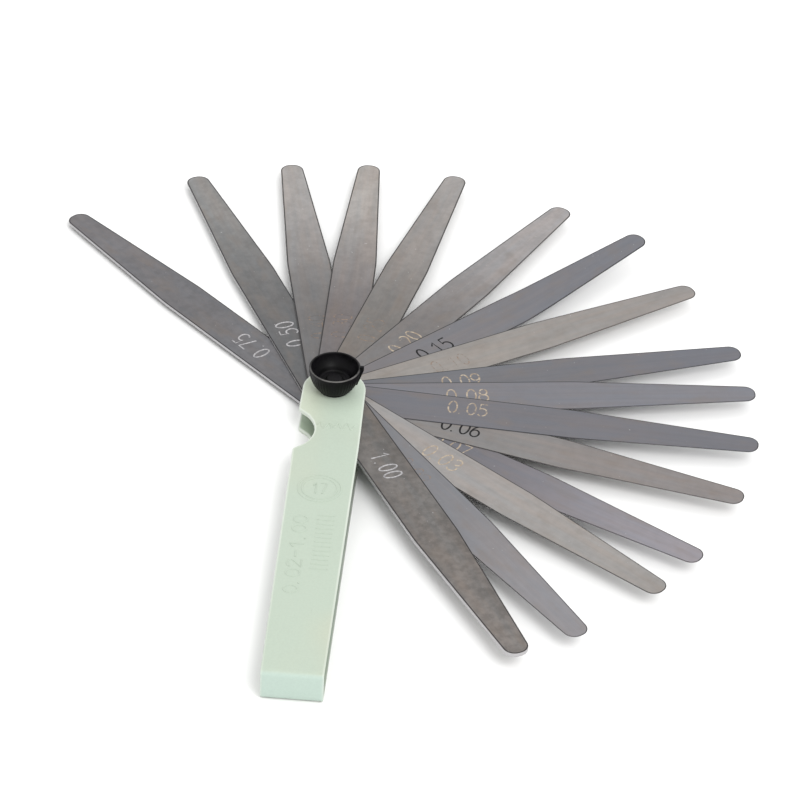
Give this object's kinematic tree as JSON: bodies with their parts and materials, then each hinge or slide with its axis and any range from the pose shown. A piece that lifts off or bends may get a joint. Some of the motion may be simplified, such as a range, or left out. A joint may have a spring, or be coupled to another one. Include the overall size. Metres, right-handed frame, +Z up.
{
  "type": "feeler gauge",
  "caption": "Fan of tapered steel measuring leaves on one pivot, folding into a green sheet-steel sheath and clamped by a black cup-shaped thumb nut.",
  "frame": {"origin": "on the pivot axis, in the plane of the sheath's underside that the gauge lies on", "axes": "+Z up along the pivot axis towards the thumb nut, -Y along the sheath towards its closed end"},
  "size_m": [0.1637, 0.1926, 0.0131],
  "materials": {
    "sage_paint": "smooth semi-gloss sage green enamel on sheet steel, worn bright on its edges",
    "black_screw": "blackened machined steel, lightly oiled",
    "black_washer": "blackened spring steel",
    "black_nut": "glossy black finish",
    "dark_steel": "dark mottled hardened steel",
    "pale_steel": "pale warm grey satin steel strip",
    "blue_grey_steel": "blue-grey satin spring steel strip"
  },
  "bodies": {
    "sheath": {"sheath": "sage_paint", "pivot_screw": "black_screw", "lock_washer": "black_washer"},
    "leaf_0_75": {"leaf_0_75": "dark_steel"},
    "leaf_0_50": {"leaf_0_50": "dark_steel"},
    "leaf_0_40": {"leaf_0_40": "pale_steel"},
    "leaf_0_30": {"leaf_0_30": "pale_steel"},
    "leaf_0_25": {"leaf_0_25": "pale_steel"},
    "leaf_0_20": {"leaf_0_20": "pale_steel"},
    "leaf_0_15": {"leaf_0_15": "blue_grey_steel"},
    "leaf_0_10": {"leaf_0_10": "pale_steel"},
    "leaf_0_09": {"leaf_0_09": "blue_grey_steel"},
    "leaf_0_08": {"leaf_0_08": "blue_grey_steel"},
    "leaf_0_07": {"leaf_0_07": "blue_grey_steel"},
    "leaf_0_06": {"leaf_0_06": "pale_steel"},
    "leaf_0_05": {"leaf_0_05": "blue_grey_steel"},
    "leaf_0_04": {"leaf_0_04": "pale_steel"},
    "leaf_0_03": {"leaf_0_03": "pale_steel"},
    "leaf_0_02": {"leaf_0_02": "blue_grey_steel"},
    "leaf_1_00": {"leaf_1_00": "dark_steel"},
    "thumb_nut": {"thumb_nut": "black_nut"}
  },
  "joints": [
    {"name": "leaf_0_75_swing", "type": "hinge", "parent": "sheath", "child": "leaf_0_75", "pos_m": [0, 0, 0.003], "axis": [0, 0, 1], "range_deg": [-225.7, 134.3]},
    {"name": "leaf_0_50_swing", "type": "hinge", "parent": "sheath", "child": "leaf_0_50", "pos_m": [0, 0, 0.003], "axis": [0, 0, 1], "range_deg": [-205.7, 154.3]},
    {"name": "leaf_0_40_swing", "type": "hinge", "parent": "sheath", "child": "leaf_0_40", "pos_m": [0, 0, 0.003], "axis": [0, 0, 1], "range_deg": [-191.3, 168.7]},
    {"name": "leaf_0_30_swing", "type": "hinge", "parent": "sheath", "child": "leaf_0_30", "pos_m": [0, 0, 0.003], "axis": [0, 0, 1], "range_deg": [-179.8, 180.2]},
    {"name": "leaf_0_25_swing", "type": "hinge", "parent": "sheath", "child": "leaf_0_25", "pos_m": [0, 0, 0.003], "axis": [0, 0, 1], "range_deg": [-166.7, 193.3]},
    {"name": "leaf_0_20_swing", "type": "hinge", "parent": "sheath", "child": "leaf_0_20", "pos_m": [0, 0, 0.003], "axis": [0, 0, 1], "range_deg": [-149.4, 210.6]},
    {"name": "leaf_0_15_swing", "type": "hinge", "parent": "sheath", "child": "leaf_0_15", "pos_m": [0, 0, 0.003], "axis": [0, 0, 1], "range_deg": [-135.2, 224.8]},
    {"name": "leaf_0_10_swing", "type": "hinge", "parent": "sheath", "child": "leaf_0_10", "pos_m": [0, 0, 0.003], "axis": [0, 0, 1], "range_deg": [-123.1, 236.9]},
    {"name": "leaf_0_09_swing", "type": "hinge", "parent": "sheath", "child": "leaf_0_09", "pos_m": [0, 0, 0.003], "axis": [0, 0, 1], "range_deg": [-107.4, 252.6]},
    {"name": "leaf_0_08_swing", "type": "hinge", "parent": "sheath", "child": "leaf_0_08", "pos_m": [0, 0, 0.003], "axis": [0, 0, 1], "range_deg": [-97.9, 262.1]},
    {"name": "leaf_0_07_swing", "type": "hinge", "parent": "sheath", "child": "leaf_0_07", "pos_m": [0, 0, 0.003], "axis": [0, 0, 1], "range_deg": [-60.4, 299.6]},
    {"name": "leaf_0_06_swing", "type": "hinge", "parent": "sheath", "child": "leaf_0_06", "pos_m": [0, 0, 0.003], "axis": [0, 0, 1], "range_deg": [-74.5, 285.5]},
    {"name": "leaf_0_05_swing", "type": "hinge", "parent": "sheath", "child": "leaf_0_05", "pos_m": [0, 0, 0.003], "axis": [0, 0, 1], "range_deg": [-86.2, 273.8]},
    {"name": "leaf_0_04_swing", "type": "hinge", "parent": "sheath", "child": "leaf_0_04", "pos_m": [0, 0, 0.003], "axis": [0, 0, 1], "range_deg": [-51.8, 308.2]},
    {"name": "leaf_0_03_swing", "type": "hinge", "parent": "sheath", "child": "leaf_0_03", "pos_m": [0, 0, 0.003], "axis": [0, 0, 1], "range_deg": [-51.8, 308.2]},
    {"name": "leaf_0_02_swing", "type": "hinge", "parent": "sheath", "child": "leaf_0_02", "pos_m": [0, 0, 0.003], "axis": [0, 0, 1], "range_deg": [-37.7, 322.3]},
    {"name": "leaf_1_00_swing", "type": "hinge", "parent": "sheath", "child": "leaf_1_00", "pos_m": [0, 0, 0.003], "axis": [0, 0, 1], "range_deg": [-28.8, 331.2]},
    {"name": "nut_turn", "type": "hinge", "parent": "sheath", "child": "thumb_nut", "pos_m": [0, 0, 0.0075], "axis": [0, 0, 1], "range_deg": [0, 270]}
  ]
}
